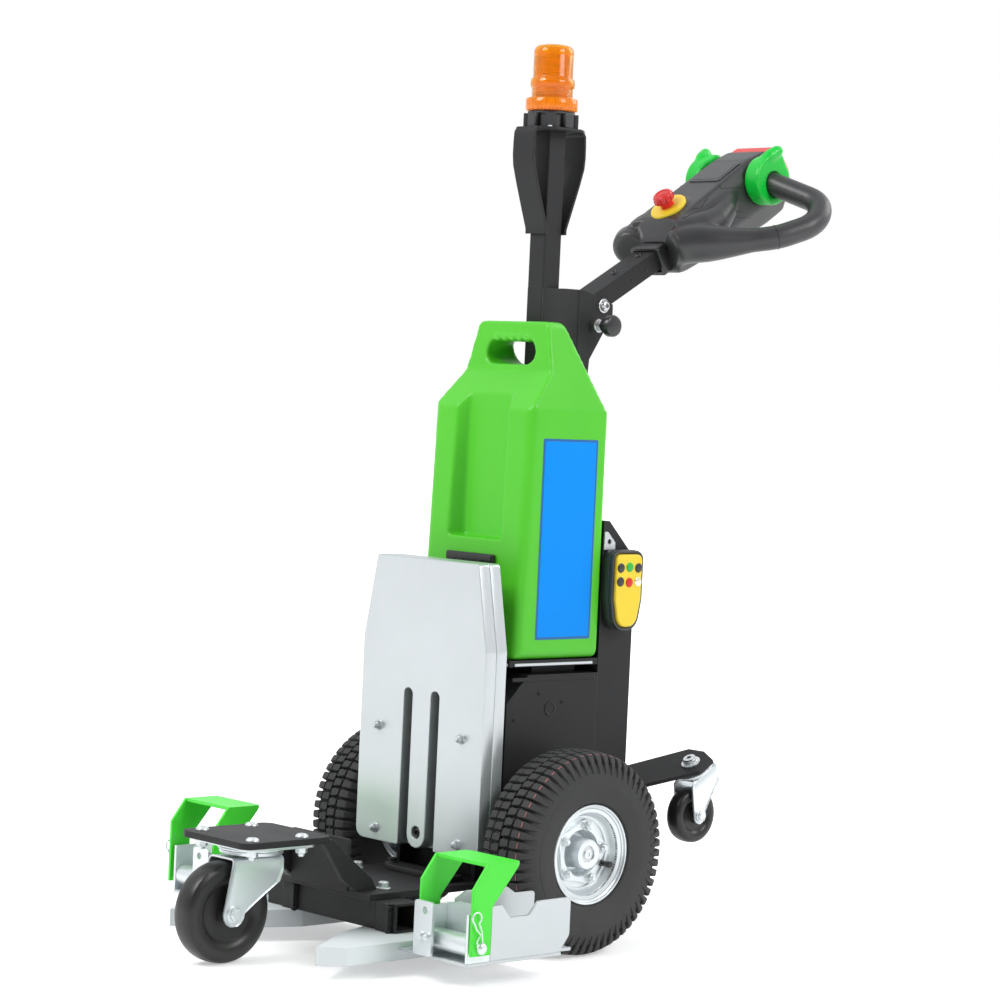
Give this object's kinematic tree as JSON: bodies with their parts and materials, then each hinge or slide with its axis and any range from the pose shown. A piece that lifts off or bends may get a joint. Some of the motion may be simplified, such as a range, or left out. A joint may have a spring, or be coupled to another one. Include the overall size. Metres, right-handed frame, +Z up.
{
  "type": "electric tow tractor",
  "caption": "Walk-behind electric tow tractor with a tilting tiller, two drive wheels, a front castor, rear support castors, battery canister, beacon and side latch levers.",
  "frame": {"origin": "on the floor, midway along and across the whole tractor", "axes": "+Z up, -Y forward to the front castor and the load, +Y towards the operator, +X to the side with the remote control"},
  "size_m": [0.61, 0.9789, 1.164],
  "materials": {
    "black_powder": "fine matt powder coat",
    "galvanised": "bright zinc plate",
    "steel": "machined steel",
    "lever_green": "bright green powder coat",
    "battery_green": "moulded plastic, soft sheen",
    "button_green": "glossy moulded plastic",
    "black_plastic": "fine grained moulding",
    "tyre_rubber": "black rubber",
    "castor_rubber": "black rubber tread",
    "rim_zinc": "zinc plated pressed steel",
    "amber": "clear amber moulding",
    "red_plastic": "glossy red",
    "yellow_plastic": "satin yellow"
  },
  "bodies": {
    "frame": {"chassis_base": "black_powder", "cross_tube": "black_powder", "castor_arm": "black_powder", "front_castor_head": "galvanised", "drive_housing": "black_powder", "drive_unit": "black_powder", "battery_shelf": "black_powder", "column": "black_powder", "ballast_front": "galvanised", "ballast_rear": "galvanised", "front_frame": "black_powder", "battery_case": "battery_green", "battery_latch": "black_plastic", "mast": "black_powder", "beacon_bracket": "black_powder", "beacon_base": "black_plastic", "beacon_lens": "amber", "tiller_bracket": "black_powder", "tiller_pivot_bolt": "steel", "index_plunger": "black_plastic", "remote_holder": "black_plastic", "remote_case": "yellow_plastic", "rear_castor_plate": "black_powder", "blade_left": "galvanised", "pocket_tray_left": "galvanised", "latch_bracket_left": "galvanised", "lever_pin_left": "steel", "rear_castor_head_left": "galvanised", "blade_right": "galvanised", "pocket_tray_right": "galvanised", "latch_bracket_right": "galvanised", "lever_pin_right": "steel", "rear_castor_head_right": "galvanised"},
    "front_fork": {"front_castor_fork": "galvanised"},
    "front_roller": {"front_castor_wheel": "castor_rubber"},
    "tiller": {"tiller_arm": "black_powder", "tiller_head": "black_plastic", "head_panel": "black_plastic", "stop_ring": "yellow_plastic", "stop_button": "red_plastic", "belly_switch": "red_plastic", "grip_left": "black_plastic", "thumb_paddle_left": "button_green", "grip_right": "black_plastic", "thumb_paddle_right": "button_green"},
    "drive_wheel_left": {"tyre_left": "tyre_rubber", "rim_left": "rim_zinc", "drive_shaft_left": "steel"},
    "lever_left": {"latch_lever_left": "lever_green"},
    "rear_fork_left": {"rear_castor_fork_left": "galvanised"},
    "rear_roller_left": {"rear_castor_wheel_left": "castor_rubber"},
    "drive_wheel_right": {"tyre_right": "tyre_rubber", "rim_right": "rim_zinc", "drive_shaft_right": "steel"},
    "lever_right": {"latch_lever_right": "lever_green"},
    "rear_fork_right": {"rear_castor_fork_right": "galvanised"},
    "rear_roller_right": {"rear_castor_wheel_right": "castor_rubber"}
  },
  "joints": [
    {"name": "tiller_tilt", "type": "hinge", "parent": "frame", "child": "tiller", "pos_m": [0, 0.14428, 0.827], "axis": [1, 0, 0], "range_deg": [-40, 40]},
    {"name": "front_swivel", "type": "hinge", "parent": "frame", "child": "front_fork", "pos_m": [0, -0.38672, 0.12], "axis": [0, 0, 1], "continuous": true},
    {"name": "front_roll", "type": "hinge", "parent": "front_fork", "child": "front_roller", "pos_m": [0, -0.42872, 0.0625], "axis": [1, 0, 0], "continuous": true},
    {"name": "drive_spin_left", "type": "hinge", "parent": "frame", "child": "drive_wheel_left", "pos_m": [-0.168, -0.00272, 0.13], "axis": [1, 0, 0], "continuous": true},
    {"name": "lever_tilt_left", "type": "hinge", "parent": "frame", "child": "lever_left", "pos_m": [-0.251, -0.27372, 0.053], "axis": [1, 0, 0], "range_deg": [-26, 0]},
    {"name": "rear_swivel_left", "type": "hinge", "parent": "frame", "child": "rear_fork_left", "pos_m": [-0.134, 0.24228, 0.226], "axis": [0, -0.5, 0.866], "continuous": true},
    {"name": "rear_roll_left", "type": "hinge", "parent": "rear_fork_left", "child": "rear_roller_left", "pos_m": [-0.134, 0.24643, 0.15681], "axis": [1, 0, 0], "continuous": true},
    {"name": "drive_spin_right", "type": "hinge", "parent": "frame", "child": "drive_wheel_right", "pos_m": [0.168, -0.00272, 0.13], "axis": [1, 0, 0], "continuous": true},
    {"name": "lever_tilt_right", "type": "hinge", "parent": "frame", "child": "lever_right", "pos_m": [0.251, -0.27372, 0.053], "axis": [1, 0, 0], "range_deg": [-26, 0]},
    {"name": "rear_swivel_right", "type": "hinge", "parent": "frame", "child": "rear_fork_right", "pos_m": [0.134, 0.24228, 0.226], "axis": [0, -0.5, 0.866], "continuous": true},
    {"name": "rear_roll_right", "type": "hinge", "parent": "rear_fork_right", "child": "rear_roller_right", "pos_m": [0.134, 0.24643, 0.15681], "axis": [1, 0, 0], "continuous": true}
  ]
}
